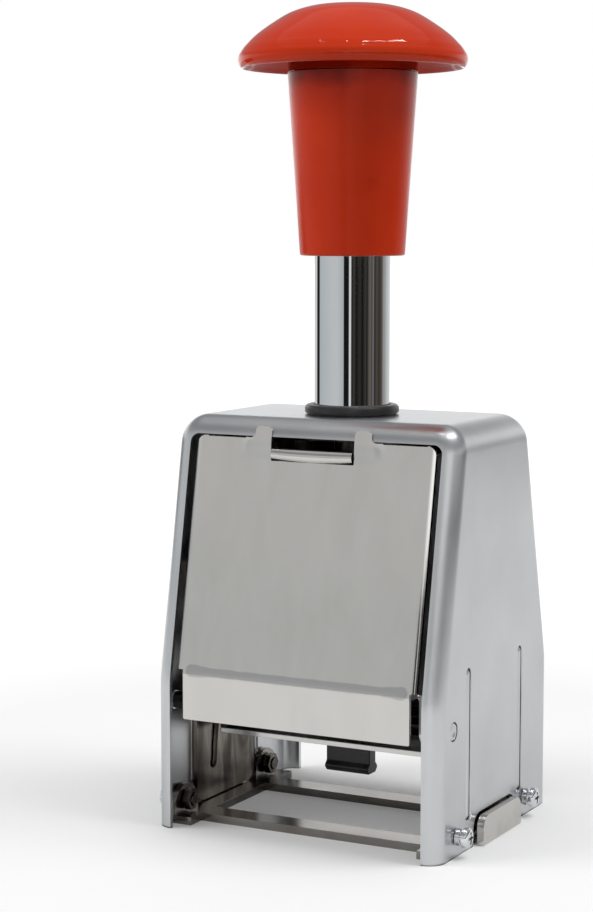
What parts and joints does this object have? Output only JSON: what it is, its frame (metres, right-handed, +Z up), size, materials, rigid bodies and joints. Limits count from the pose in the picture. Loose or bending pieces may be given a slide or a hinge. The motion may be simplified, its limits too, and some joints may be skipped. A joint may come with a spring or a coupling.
{
  "type": "numbering machine",
  "caption": "Self-inking hand numbering machine: a palm knob and tube drive a turning number unit between an ink pad and the paper.",
  "frame": {"origin": "middle of the foot, on the desk, at the middle of the bounding box", "axes": "+Z up along the plunger, +Y to the machine's back, where the ink cassette comes out, +X to its right along the number wheels' axle"},
  "size_m": [0.0756, 0.0616, 0.1802],
  "materials": {
    "satin_nickel": "satin nickel plate on sheet steel",
    "polished_nickel": "polished nickel plate",
    "chrome_plate": "bright chrome plate",
    "blackened_steel": "blackened, oiled",
    "black_plastic": "moulded, semi-matt",
    "red_plastic": "moulded, glossy",
    "inked_felt": "felt soaked with ink",
    "type_brass": "engraved, inky"
  },
  "bodies": {
    "housing": {"housing_shell": "satin_nickel", "rear_cover": "polished_nickel", "cover_pin_left": "chrome_plate", "cover_pin_right": "chrome_plate", "base_frame": "polished_nickel", "base_screw_front_left": "chrome_plate", "base_screw_front_right": "chrome_plate", "base_screw_rear_left": "chrome_plate", "base_screw_rear_right": "chrome_plate", "base_nut_front_left": "chrome_plate", "base_nut_front_right": "chrome_plate", "base_nut_rear_left": "chrome_plate", "base_nut_rear_right": "chrome_plate", "cam_plate_left": "blackened_steel", "cam_plate_right": "blackened_steel", "pad_bridge": "blackened_steel", "guide_post": "blackened_steel", "collar_bush": "black_plastic", "return_spring": "chrome_plate"},
    "front_cover": {"front_cover": "polished_nickel"},
    "cassette": {"ink_cassette": "black_plastic", "ink_pad": "inked_felt"},
    "carriage": {"carriage_yoke": "blackened_steel", "plunger_tube": "chrome_plate", "tube_plug": "blackened_steel", "knob_screw": "blackened_steel", "grip_sleeve": "red_plastic", "knob_cap": "red_plastic"},
    "number_unit": {"unit_frame": "polished_nickel", "detent_comb": "polished_nickel", "unit_axle": "chrome_plate", "crank_left": "blackened_steel", "crank_right": "blackened_steel", "wheel_spacer_left": "blackened_steel", "wheel_spacer_right": "blackened_steel"},
    "pawl": {"pawl_bracket": "blackened_steel", "advance_pawl": "blackened_steel", "pawl_pin": "blackened_steel"},
    "selector": {"repeat_selector": "black_plastic"},
    "wheel_1": {"number_wheel_1": "type_brass"},
    "wheel_2": {"number_wheel_2": "type_brass"},
    "wheel_3": {"number_wheel_3": "type_brass"},
    "wheel_4": {"number_wheel_4": "type_brass"},
    "wheel_5": {"number_wheel_5": "type_brass"},
    "wheel_6": {"number_wheel_6": "type_brass"}
  },
  "joints": [
    {"name": "cover_hinge", "type": "hinge", "parent": "housing", "child": "front_cover", "pos_m": [0, -0.0232, 0.0272], "axis": [1, 0, 0], "range_deg": [0, 90]},
    {"name": "cassette_slide", "type": "slide", "parent": "housing", "child": "cassette", "axis": [0, 1, 0], "range_m": [0, 0.04]},
    {"name": "plunger_slide", "type": "slide", "parent": "housing", "child": "carriage", "axis": [0, 0, -1], "range_m": [0, 0.027], "stiffness_N_per_m": 400, "springref_m": -0.06, "deforming": ["return_spring"]},
    {"name": "unit_flip", "type": "hinge", "parent": "carriage", "child": "number_unit", "pos_m": [0, -0.0024, 0.0372], "axis": [1, 0, 0], "range_deg": [0, 180]},
    {"name": "pawl_rock", "type": "hinge", "parent": "number_unit", "child": "pawl", "pos_m": [0, -0.0024, 0.0372], "axis": [1, 0, 0], "range_deg": [0, 36]},
    {"name": "selector_slide", "type": "slide", "parent": "number_unit", "child": "selector", "axis": [1, 0, 0], "range_m": [-0.008, 0.008]},
    {"name": "wheel_1_spin", "type": "hinge", "parent": "number_unit", "child": "wheel_1", "pos_m": [0, -0.0024, 0.0372], "axis": [1, 0, 0], "continuous": true},
    {"name": "wheel_2_spin", "type": "hinge", "parent": "number_unit", "child": "wheel_2", "pos_m": [0, -0.0024, 0.0372], "axis": [1, 0, 0], "continuous": true},
    {"name": "wheel_3_spin", "type": "hinge", "parent": "number_unit", "child": "wheel_3", "pos_m": [0, -0.0024, 0.0372], "axis": [1, 0, 0], "continuous": true},
    {"name": "wheel_4_spin", "type": "hinge", "parent": "number_unit", "child": "wheel_4", "pos_m": [0, -0.0024, 0.0372], "axis": [1, 0, 0], "continuous": true},
    {"name": "wheel_5_spin", "type": "hinge", "parent": "number_unit", "child": "wheel_5", "pos_m": [0, -0.0024, 0.0372], "axis": [1, 0, 0], "continuous": true},
    {"name": "wheel_6_spin", "type": "hinge", "parent": "number_unit", "child": "wheel_6", "pos_m": [0, -0.0024, 0.0372], "axis": [1, 0, 0], "continuous": true}
  ],
  "couplings": [
    {"joint": "unit_flip", "follows": "plunger_slide", "rad_per_m": 116.35},
    {"joint": "pawl_rock", "follows": "plunger_slide", "rad_per_m": 23.27}
  ]
}
